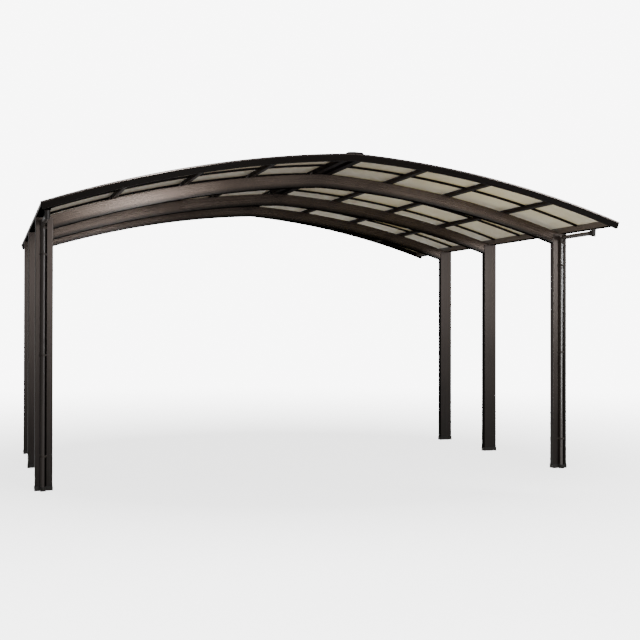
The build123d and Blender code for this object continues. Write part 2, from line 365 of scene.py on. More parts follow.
    def joined(self, pieces: Sequence[Piece], name: str) -> Piece:
        """Joins several meshes.

        Args:
            pieces: the meshes.
            name: the joined piece's name.

        Returns:
            The joined piece.
        """
        self.select(*pieces)
        if len(pieces) > 1:
            bpy.ops.object.join()
        whole = bpy.context.view_layer.objects.active
        whole.name = whole.data.name = name
        self.select()
        return whole


def arithmetic(operation: str, swapped: bool = False) -> Callable[..., Signal]:
    """Makes an operator of signals.

    Args:
        operation: what its Math node does.
        swapped: whether the other operand comes first.

    Returns:
        The operator's method.
    """

    def add_node(self: Signal, other: Any = 0.0) -> Signal:
        """Adds the Math node."""
        first, second = (other, self) if swapped else (self, other)
        return self.desk.node("ShaderNodeMath", {"operation": operation}, {0: first, 1: second})

    return add_node


class Signal:
    """A node's output that takes part in Python expressions."""

    __add__ = arithmetic("ADD")
    __radd__ = arithmetic("ADD", swapped=True)
    __sub__ = arithmetic("SUBTRACT")
    __rsub__ = arithmetic("SUBTRACT", swapped=True)
    __mul__ = arithmetic("MULTIPLY")
    __rmul__ = arithmetic("MULTIPLY", swapped=True)
    __pow__ = arithmetic("POWER")
    __abs__ = arithmetic("ABSOLUTE")

    def __init__(self, desk: ShaderDesk, socket: bpy.types.NodeSocket) -> None:
        """Keeps the socket and the desk that adds nodes for it."""
        self.desk = desk
        self.socket = socket


class ShaderDesk:
    """Builds one material's nodes."""

    def __init__(self, name: str, shape: RoofShape) -> None:
        """Starts a material with a Principled shader.

        Args:
            name: the material's name.
            shape: the roof's shape, for the curved finishes.
        """
        self.shape = shape
        self.material = bpy.data.materials.new(name)
        self.material.use_nodes = True
        self.tree = self.material.node_tree
        self.shader = self.tree.nodes["Principled BSDF"]
        self.place = self.node("ShaderNodeTexCoord", {}, {}, "Object")

    def node(
        self, kind: str, settings: dict[str, Any], inputs: dict[Any, Any], output: Any = 0
    ) -> Signal:
        """Adds any node.

        Args:
            kind: the node's type.
            settings: its settings, such as an operation.
            inputs: values or links of its sockets, by name or number.
            output: which output is used.

        Returns:
            The output as a signal.
        """
        made = self.tree.nodes.new(kind)
        for key, value in settings.items():
            setattr(made, key, value)
        for key, value in inputs.items():
            self.feed(made.inputs[key], value)
        return Signal(self, made.outputs[output])

    def feed(self, socket: bpy.types.NodeSocket, value: Any) -> None:
        """Links a signal to a socket, or sets a plain value on it.

        Args:
            socket: the input.
            value: a signal, a number or a colour.
        """
        if isinstance(value, Signal):
            self.tree.links.new(value.socket, socket)
        elif socket.type == "RGBA":
            socket.default_value = (*value, 1.0)
        else:
            socket.default_value = value

    def dress(self, **sockets: Any) -> None:
        """Feeds the shader's sockets; an underscore in a name stands for a space."""
        for key, value in sockets.items():
            self.feed(self.shader.inputs[key.replace("_", " ")], value)

    def veil(self, share: Signal) -> None:
        """Turns the surface to a dull, deep shade.

        Args:
            share: 1 where it is all in shade, 0 where the finish shows.
        """
        dull = self.node("ShaderNodeBsdfDiffuse", {}, {"Color": DEEP_SHADE})
        sheen = Signal(self, self.shader.outputs[0])
        whole = self.node("ShaderNodeMixShader", {}, {0: share, 1: sheen, 2: dull})
        self.feed(self.tree.nodes["Material Output"].inputs["Surface"], whole)

    def noise(self, vector: Any, scale: float, detail: float = 3.0) -> Signal:
        """Soft noise from 0 to 1."""
        inputs = {"Vector": vector, "Scale": scale, "Detail": detail}
        return self.node("ShaderNodeTexNoise", {}, inputs, "Fac")

    def stretch(self, *scale: float) -> Signal:
        """Object coordinates, scaled apart along X, Y and Z."""
        return self.node("ShaderNodeMapping", {}, {"Vector": self.place, "Scale": scale})

    def axes(self) -> tuple[Signal, Signal, Signal]:
        """Object coordinates as three numbers."""
        split = self.node("ShaderNodeSeparateXYZ", {}, {0: self.place})
        owner = split.socket.node
        return (split, Signal(self, owner.outputs[1]), Signal(self, owner.outputs[2]))

    def mix(self, share: Any, first: Any, second: Any) -> Signal:
        """Colour between two colours."""
        inputs = {0: share, 6: first, 7: second}
        return self.node("ShaderNodeMix", {"data_type": "RGBA"}, inputs, 2)

    def ramp(self, value: Signal, low: float, high: float) -> Signal:
        """Number from 0 at the low end to 1 at the high end, held outside them."""
        inputs = {"Value": value, "From Min": low, "From Max": high}
        return self.node("ShaderNodeMapRange", {"clamp": True}, inputs)

    def bump(self, height: Signal, strength: float, distance: float) -> Signal:
        """Normal with fine relief."""
        inputs = {"Height": height, "Strength": strength, "Distance": distance}
        return self.node("ShaderNodeBump", {}, inputs, "Normal")


class Lay(Enum):
    """Which way an extrusion's fine die lines run."""

    UPRIGHT = "upright"
    LENGTHWISE = "lengthwise"
    ARCHED = "arched"


@dataclass(frozen=True)
class Coating:
    """A finish; each kind feeds the shader in its own way."""

    name: str

    def make(self, shape: RoofShape) -> bpy.types.Material:
        """Builds the material.

        Args:
            shape: the roof's shape.

        Returns:
            The material.
        """
        desk = ShaderDesk(self.name, shape)
        self.lay_on(desk)
        return desk.material

    def lay_on(self, desk: ShaderDesk) -> None:
        """Feeds the shader; a kind of finish has to say how."""
        raise NotImplementedError


@dataclass(frozen=True)
class BronzeFinish(Coating):
    """Dark bronze anodised and lacquered aluminium with die lines, dust and dull patches.

    The shade beside the pipes lies on what is before front_until, about left_line, which is
    its middle, half its width and where it has faded out, and past right_from.
    """

    colour: Triple
    pale: Triple
    lay: Lay
    roughness: float = 0.36
    metallic: float = 0.45
    specular: float = 0.35
    coat: float = 0.15
    foot_shade: float = 0.0
    dark_under: float = 0.0
    shade_depth: float = 0.002
    side_shade: float = 0.0
    pipe_shade: float = 0.0
    across: float = 70.0
    along: float = 0.7
    front_until: Pair = (-1.450, -1.440)
    left_line: Triple = (-2.672, 0.005, 0.007)
    right_from: Pair = (2.715, 2.721)

    def rise(self, desk: ShaderDesk) -> Signal:
        """Gives how high a point lies in the piece.

        Args:
            desk: the material's desk.

        Returns:
            Distance from the arcs' centre on an arched piece, height on a straight one.
        """
        x, _, z = desk.axes()
        if self.lay is not Lay.ARCHED:
            return z
        level = abs(x) + desk.shape.offset
        height = z - desk.shape.centre_height
        return (level**2.0 + height**2.0) ** 0.5

    def lines(self, desk: ShaderDesk) -> Signal:
        """Gives coordinates for the die lines.

        Args:
            desk: the material's desk.

        Returns:
            Coordinates that change slowly along the extrusion and fast across it.
        """
        if self.lay is Lay.UPRIGHT:
            return desk.stretch(self.across, self.across, self.along)
        if self.lay is Lay.LENGTHWISE:
            return desk.stretch(self.across, self.along, self.across)
        x, y, _ = desk.axes()
        rise = self.rise(desk)
        inputs = {0: x * self.along, 1: y * self.across, 2: rise * self.across}
        return desk.node("ShaderNodeCombineXYZ", {}, inputs)

    def post_shade(self, desk: ShaderDesk) -> Signal:
        """Finds where the posts lie in shade.

        Args:
            desk: the material's desk.

        Returns:
            The share of shade on the inner sides of the middle and rear posts, and on the
            front posts' faces beside the pipes.
        """
        x, y, _ = desk.axes()
        inner = desk.shape.post_inner
        side = (1.0 - desk.ramp(abs(x), inner + 0.005, inner + 0.009)) * desk.ramp(y, -1.0, 0.0)
        front = 1.0 - desk.ramp(y, *self.front_until)
        middle, half, faded = self.left_line
        left = 1.0 - desk.ramp(abs(x - middle), half, faded)
        right = desk.ramp(x, *self.right_from) * self.pipe_shade
        return side * self.side_shade + (left + right) * front

    def lay_on(self, desk: ShaderDesk) -> None:
        """Feeds the shader.

        Args:
            desk: the material's desk.
        """
        fine = desk.noise(self.lines(desk), 4.0, 4.0)
        cloud = desk.noise(desk.place, 2.2)
        grit = desk.noise(desk.place, 420.0, 2.0)
        rough = desk.ramp(fine * 0.5 + cloud * 0.5, 0.1, 0.9) * 0.16
        share = desk.ramp(cloud * 0.6 + fine * 0.4, 0.34, 0.68)
        colour = desk.mix(share * 0.55, self.colour, self.pale)
        # Painted shade: the posts' colour grows darker towards the foot.
        if self.foot_shade > 0.0:
            low = 1.0 - desk.ramp(desk.axes()[2] + cloud * 0.2, 0.1, 2.3)
            colour = desk.mix(low * self.foot_shade, colour, PAINTED_FOOT_SHADE)
        # Painted shade on the middle and rear posts' inner sides, and painted shadow of the pipes
        # on the front posts' faces.
        if self.side_shade > 0.0:
            desk.veil(self.post_shade(desk))
        # Painted shade: the face's colour grows darker towards its lower edge, and the underside
        # is veiled in deep shade.
        if self.dark_under > 0.0:
            rise = self.rise(desk)
            shade = desk.ramp(rise, self.dark_under, self.dark_under + self.shade_depth)
            colour = desk.mix(shade**1.4, DEEP_SHADE, colour)
            desk.veil(1.0 - desk.ramp(rise, self.dark_under + 0.0006, self.dark_under + 0.0036))
        desk.dress(
            Base_Color=colour,
            Metallic=self.metallic,
            Roughness=rough + (self.roughness - 0.08),
            Specular_IOR_Level=self.specular,
            Coat_Weight=self.coat,
            Coat_Roughness=0.18,
            Normal=desk.bump(fine * 0.7 + grit * 0.3, 0.10, 0.0006),
        )


@dataclass(frozen=True)
class SheetFinish(Coating):
    """Smoky clear polycarbonate: tinted, slightly wavy, a little dusty towards the eaves."""

    name: str = "smoky_clear_sheet"
    shaded: Triple = (0.50, 0.43, 0.30)
    sunny: Triple = (0.68, 0.57, 0.29)
    dusty: Triple = (0.48, 0.44, 0.36)
    opacity: float = 0.920
    sunny_thinning: float = 0.053
    sunny_to: float = 1.4

    def lay_on(self, desk: ShaderDesk) -> None:
        """Feeds the shader.

        Args:
            desk: the material's desk.
        """
        x, _, _ = desk.axes()
        cloud = desk.noise(desk.place, 1.6)
        specks = desk.noise(desk.place, 160.0, 2.0)
        wave = desk.noise(desk.stretch(1.0, 5.0, 1.0), 2.0, 1.0)
        # Painted light: the right half is tinted lighter and warmer and made more see-through, as
        # if lit. The left half keeps the shaded tint.
        sunny = desk.ramp(x, 0.0, self.sunny_to)
        eave = desk.ramp(abs(x) + cloud * 0.6, 1.9, 3.2)
        dust = eave * 0.5 + desk.ramp(specks, 0.62, 0.8) * 0.12
        clear = dust * 0.01 + (cloud * 0.01 + self.opacity)
        desk.dress(
            Base_Color=desk.mix(dust, desk.mix(sunny, self.shaded, self.sunny), self.dusty),
            Roughness=dust * 0.22 + 0.34 + cloud * 0.05,
            Alpha=clear - sunny * self.sunny_thinning,
            IOR=1.58,
            Specular_IOR_Level=0.2,
            Normal=desk.bump(wave, 0.25, 0.004),
        )
        desk.material.surface_render_method = "BLENDED"


@dataclass(frozen=True)
class MouldedFinish(Coating):
    """Moulded or extruded plastic and rubber with a fine grain."""

    colour: Triple
    pale: Triple
    roughness: float
    grain: float
    relief: float
    specular: float = 0.4
    streak: float = 1.0
    coat: float = 0.0
    wear: float = 0.12
    shaded_from: float | None = None

    def lay_on(self, desk: ShaderDesk) -> None:
        """Feeds the shader.

        Args:
            desk: the material's desk.
        """
        # Painted shade: past shaded_from across, the pipe is veiled in deep shade.
        if self.shaded_from is not None:
            desk.veil(desk.ramp(desk.axes()[0], self.shaded_from, self.shaded_from + 0.003))
        cloud = desk.noise(desk.stretch(6.0, 6.0, 6.0 * self.streak), 1.0, 4.0)
        grain = desk.noise(desk.place, self.grain, 2.0)
        scuff = desk.ramp(desk.noise(desk.stretch(30.0, 30.0, 4.0), 3.0, 5.0), 0.60, 0.74)
        share = desk.ramp(cloud, 0.35, 0.7) * 0.5 + scuff * 0.25
        desk.dress(
            Base_Color=desk.mix(share, self.colour, self.pale),
            Roughness=cloud * 0.08 + (self.roughness - 0.04) + scuff * self.wear,
            Specular_IOR_Level=self.specular,
            Coat_Weight=self.coat,
            Coat_Roughness=0.16,
            Normal=desk.bump(grain, self.relief, 0.0006),
        )


@dataclass(frozen=True)
class BareMetalFinish(Coating):
    """Plain metal of fixings and splices, with dull spots."""

    colour: Triple
    tarnish: Triple
    roughness: float

    def lay_on(self, desk: ShaderDesk) -> None:
        """Feeds the shader.

        Args:
            desk: the material's desk.
        """
        spots = desk.noise(desk.place, 180.0, 4.0)
        cloud = desk.noise(desk.place, 14.0)
        share = desk.ramp(spots * 0.5 + cloud * 0.5, 0.38, 0.66)
        desk.dress(
            Base_Color=desk.mix(share, self.colour, self.tarnish),
            Metallic=0.9,
            Roughness=share * 0.2 + self.roughness,
            Normal=desk.bump(spots, 0.12, 0.0004),
        )


@dataclass(frozen=True)
class FloorFinish(Coating):
    """Pale studio floor with a faint mottle, which fades out into the white surround."""

    name: str = "pale_floor"
    colour: Triple = (0.74, 0.74, 0.74)
    mottle: Triple = (0.80, 0.80, 0.795)
    clear_from: float = 3.0
    clear_to: float = 15.0
    opacity: float = 0.66

    def lay_on(self, desk: ShaderDesk) -> None:
        """Feeds the shader.

        Args:
            desk: the material's desk.
        """
        x, y, _ = desk.axes()
        away = desk.ramp((x**2.0 + y**2.0) ** 0.5, self.clear_from, self.clear_to)
        desk.dress(
            Base_Color=desk.mix(desk.noise(desk.place, 0.6), self.colour, self.mottle),
            Roughness=0.9,
            Specular_IOR_Level=0.1,
            Alpha=(1.0 - away) ** 1.5 * self.opacity,
        )


class Finish(Enum):
    """The finishes that the carport's pieces take."""

    POST = BronzeFinish(
        "bronze_post", (0.033, 0.023, 0.018), (0.052, 0.039, 0.033), Lay.UPRIGHT,
        foot_shade=0.80, side_shade=0.9, pipe_shade=0.5,
    )
    BEAM = BronzeFinish(
        "bronze_beam", (0.064, 0.047, 0.038), (0.102, 0.081, 0.068), Lay.ARCHED,
        roughness=0.27, metallic=0.70, dark_under=9.8184, shade_depth=0.046,
    )
    PURLIN = BronzeFinish(
        "bronze_purlin", (0.011, 0.0085, 0.0068), (0.019, 0.0155, 0.013), Lay.LENGTHWISE,
        roughness=0.50, metallic=0.1, specular=0.04, coat=0.0,
    )
    GUTTER = BronzeFinish(
        "bronze_gutter", (0.10, 0.080, 0.064), (0.150, 0.126, 0.106), Lay.LENGTHWISE,
        dark_under=2.5196, shade_depth=0.004,
    )
    RIDGE = BronzeFinish(
        "blackish_ridge", (0.0040, 0.0030, 0.0025), (0.0085, 0.0066, 0.0057), Lay.LENGTHWISE,
        roughness=0.55, metallic=0.0, specular=0.03, coat=0.0,
    )
    EDGE = BronzeFinish(
        "blackish_edge", (0.0036, 0.0027, 0.0022), (0.0075, 0.0058, 0.0050), Lay.ARCHED,
        roughness=0.50, metallic=0.0, specular=0.03, coat=0.0,
    )
    COVER = BronzeFinish(
        "blackish_cover", (0.010, 0.0080, 0.0070), (0.020, 0.017, 0.015), Lay.LENGTHWISE,
        roughness=0.40, metallic=0.1, specular=0.2, coat=0.05,
    )
    BEAD = BronzeFinish(
        "satin_edge_bead", (0.055, 0.046, 0.040), (0.090, 0.078, 0.070), Lay.ARCHED,
        roughness=0.24, metallic=0.9, specular=0.5, coat=0.2,
    )
    SHEET = SheetFinish()
    PIPE = MouldedFinish(
        "brown_pipe", (0.024, 0.018, 0.015), (0.040, 0.032, 0.028), 0.25, 300.0, 0.0, 1.0, 0.2,
        coat=0.45, wear=0.02, shaded_from=2.696,
    )
    # The left pipe: a copy of the pipe finish, duller, and darker in colour as painted shade.
    DULL_SHADED_PIPE = MouldedFinish(
        "dull_shaded_pipe", (0.018, 0.0135, 0.011), (0.032, 0.025, 0.021), 0.36, 300.0, 0.015, 0.4, 0.2,
        shaded_from=-2.6885,
    )
    # Colour darker than the pipes': painted shade on the outlets under the gutter.
    OUTLET = MouldedFinish(
        "brown_outlet", (0.010, 0.008, 0.007), (0.018, 0.014, 0.012), 0.46, 300.0, 0.03, 0.25
    )
    CLIP = MouldedFinish(
        "brown_clip", (0.020, 0.015, 0.012), (0.034, 0.027, 0.023), 0.50, 300.0, 0.03, 0.25
    )
    SHOE = MouldedFinish(
        "black_shoe", (0.010, 0.009, 0.008), (0.030, 0.027, 0.024), 0.55, 900.0, 0.2, 0.25
    )
    RUBBER = MouldedFinish(
        "black_rubber", (0.006, 0.006, 0.006), (0.016, 0.016, 0.016), 0.62, 700.0, 0.12, 0.2
    )
    FIXING = BareMetalFinish("steel_fixing", (0.34, 0.33, 0.31), (0.20, 0.19, 0.18), 0.30)
    SPLICE = BareMetalFinish("mill_splice", (0.72, 0.72, 0.73), (0.55, 0.55, 0.56), 0.34)
    FLOOR = FloorFinish()


class Paintshop:
    """Makes each finish once and puts it on pieces."""

    NODE_FINISHES = (
        ("_post", Finish.POST),
        ("_beam", Finish.BEAM),
        ("_ridge_purlin", Finish.RIDGE),
        ("_purlin", Finish.PURLIN),
        ("_eave_gutter", Finish.GUTTER),
        ("_fascia", Finish.EDGE),
        ("_battens", Finish.EDGE),
        ("_panels", Finish.SHEET),
        ("_drain_pipe", Finish.PIPE),
        ("left_downpipe", Finish.DULL_SHADED_PIPE),
        ("_downpipe", Finish.PIPE),
        ("_splice", Finish.SPLICE),
        ("ridge_cover", Finish.COVER),
        ("_end_caps", Finish.EDGE),
        ("post_shoes", Finish.SHOE),
        ("purlin_brackets", Finish.COVER),
        ("drain_outlets", Finish.OUTLET),
    )

    def __init__(self, shape: RoofShape) -> None:
        """Keeps the roof's shape for the curved finishes."""
        self.shape = shape
        self.made: dict[Finish, bpy.types.Material] = {}

    def coat(self, piece: Piece, finish: Finish) -> None:
        """Puts a finish on all of a piece.

        Args:
            piece: the piece.
            finish: the finish, whose material is made at its first use.
        """
        if finish not in self.made:
            self.made[finish] = finish.value.make(self.shape)
        if not piece.material_slots:
            piece.data.materials.append(self.made[finish])
        for slot in piece.material_slots:
            slot.material = self.made[finish]

    def coat_nodes(self, nodes: dict[str, Piece]) -> None:
        """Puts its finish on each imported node.

        Args:
            nodes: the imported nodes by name.
        """
        for name, node in nodes.items():
            finish = next(found for ending, found in self.NODE_FINISHES if name.endswith(ending))
            self.coat(node, finish)
            LOG.info("node %s: %s", name, finish.value.name)


class HeadKind(Enum):
    """Heads of the fixings: washer and screw outlines as radius and height, and sides."""

    HEX = (
        ((0.0085, 0.0), (0.0085, 0.0012), (0.0078, 0.0018)),
        ((0.0065, 0.0016), (0.0065, 0.0058), (0.0052, 0.0066)),
        6,
    )
    PAN = (
        ((0.0052, 0.0), (0.0056, 0.0006), (0.0050, 0.0010)),
        (
            (0.0045, 0.0008), (0.0044, 0.0020), (0.0036, 0.0030), (0.0022, 0.0035),
            (0.0018, 0.0035), (0.0012, 0.0022),
        ),
        12,
    )


@dataclass(frozen=True)
class SubAssembly:
    """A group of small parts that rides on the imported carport."""

    bench: Workbench
    paint: Paintshop

    @property
    def shape(self) -> RoofShape:
        """The roof's shape, which every group is placed by."""
        return self.bench.shape

    def fit(
        self, parts: Sequence[Piece], name: str, finish: Finish, slot: str = "edge_dark"
    ) -> None:
        """Joins parts to one piece, paints it and fixes it to the carport.

        Args:
            parts: the parts, in their places.
            name: the piece's name.
            finish: its finish.
            slot: not used.
        """
        piece = self.bench.joined(parts, name)
        self.paint.coat(piece, finish)
        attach(piece, "root")
        LOG.info("piece %s: %d faces", piece.name, len(piece.data.polygons))

    def fixings(
        self, name: str, kind: HeadKind, places: Iterable[Matrix],
        finish: Finish = Finish.FIXING, slot: str = "splice_metal",
    ) -> None:
        """Sets screw or bolt heads, with their washers, at several places.

        Args:
            name: the joined piece's name.
            kind: which head.
            places: where each stands; Z points out of the surface.
            finish: the heads' finish.
            slot: passed on to fit, which does not use it.
        """
        washer, head, sides = kind.value
        parts = [self.bench.turned(washer, sides=14), self.bench.turned(head, sides)]
        master = self.bench.joined(parts, "fixing")
        self.fit(self.bench.copies(master, places), name, finish, slot)


@dataclass(frozen=True)
class RoofEdging(SubAssembly):
    """Beads along the curved edge frames and plates on their lower ends."""

    bead_height: float = 0.013
    bead_width: float = 0.003
    bead_start: float = 0.003
    bead_corner: float = 0.0013
    bead_steps: int = 64
    plate_thickness: float = 0.003
    plate_shift: float = 0.001
    plate_edge: float = 0.0009

    def build(self) -> None:
        """Makes the beads and the end plates."""
        shape = self.shape
        radii = (shape.arch_radius - self.bead_height, shape.arch_radius)
        reach = (self.bead_start, shape.half_width)
        for side_name, side in SIDES.items():
            for end_name, end in ENDS.items():
                bead = self.bench.strip(
                    side, radii, end * (shape.half_depth + self.bead_width / 2), self.bead_width,
                    reach, self.bead_corner, self.bead_steps,
                )
                self.fit([bead], f"{side_name}_{end_name}_edge_bead", Finish.BEAD)
        size = (self.plate_thickness, shape.fascia_width - 0.001, shape.fascia_depth - 0.002)
        radius = shape.arch_radius - shape.fascia_depth / 2
        middle = shape.half_depth - shape.fascia_width / 2
        places = [
            shape.seat(side, shape.half_width, radius, end * middle) @ at(self.plate_shift, 0, 0)
            for side in SIDES.values()
            for end in ENDS.values()
        ]
        plates = [self.bench.bar(size, place, self.plate_edge) for place in places]
        self.fit(plates, "edge_end_plates", Finish.EDGE)


@dataclass(frozen=True)
class Glazing(SubAssembly):
    """Cover strips, ribs and seals of the glazing bars, and the sheets' lower edge profiles."""

    cover_width: float = 0.030
    cover_rise: float = 0.004
    rib_width: float = 0.018
    rib_drop: float = 0.009
    rib_gap: float = 0.001
    seal_width: float = 0.003
    seal_drop: float = 0.0028
    seal_from_middle: float = 0.0145
    end_seal_width: float = 0.004
    end_seal_drop: float = 0.0035
    profile_length: float = 0.014
    profile_depth: float = 0.0065
    profile_past_gutter: float = 0.031
    screw_places: tuple[float, ...] = (0.16, 0.735, 1.40, 2.07, 2.62)

    def build(self) -> None:
        """Makes both half roofs' parts and the cover strips' screws."""
        shape = self.shape
        top = shape.arch_radius + self.cover_rise
        start, end = shape.glazed_from, shape.gutter_inner
        for side_name, side in SIDES.items():
            covers = [
                self.bench.strip(
                    side, (shape.sheet_top, top), y, self.cover_width,
                    (start + 0.004, end + 0.012), corner=0.003, steps=36,
                )
                for y in shape.batten_lines
            ]
            self.fit(covers, f"{side_name}_batten_covers", Finish.COVER)
            self.fit(self.seals(side), f"{side_name}_sheet_seals", Finish.RUBBER)
            self.fit(self.ribs(side), f"{side_name}_glazing_bar_ribs", Finish.EDGE)
            self.fit(self.profiles(side), f"{side_name}_sheet_edge_profiles", Finish.COVER)
        places = [
            shape.seat(side, distance, top, y)
            for side in SIDES.values()
            for y in shape.batten_lines
            for distance in self.screw_places
        ]
        self.fixings("cover_screws", HeadKind.PAN, places)

    def seals(self, side: int) -> list[Piece]:
        """Makes the seals under the sheets, beside each glazing bar and each edge frame.

        Args:
            side: -1 for left, 1 for right.

        Returns:
            The seals.
        """
        shape = self.shape
        bottom = shape.sheet_bottom
        reach = (shape.glazed_from + 0.002, shape.gutter_inner - 0.002)
        inner = shape.half_depth - shape.fascia_width - self.end_seal_width / 2
        rows = [
            (y + edge * self.seal_from_middle, self.seal_width, self.seal_drop, 0.0009)
            for y in shape.batten_lines
            for edge in (-1, 1)
        ]
        rows += [(y, self.end_seal_width, self.end_seal_drop, 0.0011) for y in (-inner, inner)]
        return [
            self.bench.strip(side, (bottom - drop, bottom), y, width, reach, corner, steps=28)
            for y, width, drop, corner in rows
        ]

    def ribs(self, side: int) -> list[Piece]:
        """Makes the rib under each glazing bar, in stretches from purlin to purlin.

        Args:
            side: -1 for left, 1 for right.

        Returns:
            The ribs.
        """
        shape = self.shape
        half = shape.purlin_width / 2
        edges = [shape.glazed_from]
        for distance in shape.purlin_places:
            edges += [distance - half, distance + half]
        edges.append(shape.gutter_inner)
        radii = (shape.bar_bottom - self.rib_drop, shape.bar_bottom)
        return [
            self.bench.strip(
                side, radii, y, self.rib_width, (start + self.rib_gap, end - self.rib_gap),
                corner=0.0015, steps=10,
            )
            for y in shape.batten_lines
            for start, end in zip(edges[::2], edges[1::2])
        ]

    def profiles(self, side: int) -> list[Piece]:
        """Makes the channel that closes each sheet's lower edge, over the gutter.

        Args:
            side: -1 for left, 1 for right.

        Returns:
            The channels.
        """
        shape = self.shape
        lower = shape.gutter_inner + self.profile_past_gutter
        last = shape.panel_columns - 1
        made = []
        for column in range(shape.panel_columns):
            middle = (column + 0.5) * shape.pitch - shape.half_depth
            length = shape.pitch - (0.034 if 0 < column < last else 0.060)
            shift = {0: 0.014, last: -0.014}.get(column, 0.0)
            place = shape.seat(side, lower, shape.sheet_top - 0.0015, middle + shift)
            size = (self.profile_length, length, self.profile_depth)
            made.append(self.bench.bar(size, place, edge=0.0012))
        return made


@dataclass(frozen=True)
class RidgeTrim(SubAssembly):
    """Screws and weather strips of the ridge cover."""

    cover_width: float = 0.165
    cover_rise: float = 0.014
    strip_width: float = 0.007
    strip_height: float = 0.0028
    screw_inset: float = 0.030
    screw_pitch: float = 0.58
    screws: int = 9

    def build(self) -> None:
        """Makes the weather strips under the cover's edges and its screws."""
        shape = self.shape
        half = self.cover_width / 2
        length = 2 * (shape.half_depth - shape.fascia_width) - 0.01
        size = (self.strip_width, length, self.strip_height)
        strips, places = [], []
        for side in SIDES.values():
            place = shape.seat(side, half + 0.001, shape.arch_radius + 0.0012, 0.0)
            strips.append(self.bench.bar(size, place, edge=0.0009))
            for step in range(self.screws):
                y = (step - self.screws // 2) * self.screw_pitch
                radius = shape.arch_radius + self.cover_rise
                places.append(shape.seat(side, half - self.screw_inset, radius, y))
        self.fit(strips, "ridge_weather_strips", Finish.RUBBER)
        self.fixings("ridge_cover_screws", HeadKind.PAN, places)


@dataclass(frozen=True)
class FrameFixings(SubAssembly):
    """Bolts of the brackets, of the beams' ends and of the splices at the ridge."""

    bracket_foot: float = 0.030
    bracket_thickness: float = 0.004
    bolt_along_foot: float = 0.62
    seat_gap: float = 0.0003
    leg_height: float = 0.0125
    end_insets: Pair = (0.030, 0.075)
    end_edge: float = 0.035
    splice_places: Pair = (0.07, 0.18)
    splice_edge: float = 0.03

    def build(self) -> None:
        """Sets all the frame's bolts."""
        inner = self.shape.post_inner
        ends = [inner - inset for inset in self.end_insets]
        self.fixings("bracket_bolts", HeadKind.HEX, self.brackets())
        self.fixings("beam_end_bolts", HeadKind.HEX, self.beam_faces(ends, self.end_edge, False))
        splices = self.beam_faces(self.splice_places, self.splice_edge, True)
        self.fixings("ridge_splice_screws", HeadKind.PAN, splices)

    def brackets(self) -> list[Matrix]:
        """Places one bolt down into the beam and one into the purlin on each bracket.

        Returns:
            The bolts' places.
        """
        shape = self.shape
        places = []
        rows = [(shape.ridge_purlin_middle, shape.ridge_purlin_width)]
        rows += [(distance, shape.purlin_width) for distance in shape.purlin_places]
        foot = shape.beam_top + self.seat_gap + self.bracket_thickness
        turn = Matrix.Rotation(math.pi / 2, 4, "Y")
        for side in SIDES.values():
            for distance, width in rows:
                along = width / 2 + self.seat_gap + self.bracket_foot * self.bolt_along_foot
                leg = width / 2 + self.seat_gap + self.bracket_thickness
                for middle in shape.post_middles:
                    seat = shape.seat(side, distance, foot, middle)
                    places.append(seat @ at(along, 0.0, 0.0))
                    places.append(seat @ at(leg, 0.0, self.leg_height) @ turn)
        return places

    def beam_faces(self, distances: Sequence[float], edge: float, below: bool) -> list[Matrix]:
        """Places two rows of fixings in each beam's rear face.

        Args:
            distances: their level distances from the ridge.
            edge: how far they are from the beam's upper and lower faces.
            below: whether each pair has one more in the beam's underside.

        Returns:
            The fixings' places.
        """
        shape = self.shape
        places = []
        for side in SIDES.values():
            for middle in shape.post_middles:
                rear = middle + shape.beam_width / 2
                for distance in distances:
                    for radius in (shape.beam_top - edge, shape.beam_bottom + edge):
                        height = shape.height(distance, radius)
                        places.append(facing((side * distance, rear, height), (0, 1, 0)))
                    if below:
                        seat = shape.seat(side, distance, shape.beam_bottom, middle)
                        places.append(seat @ Matrix.Rotation(math.pi, 4, "X"))
        return places


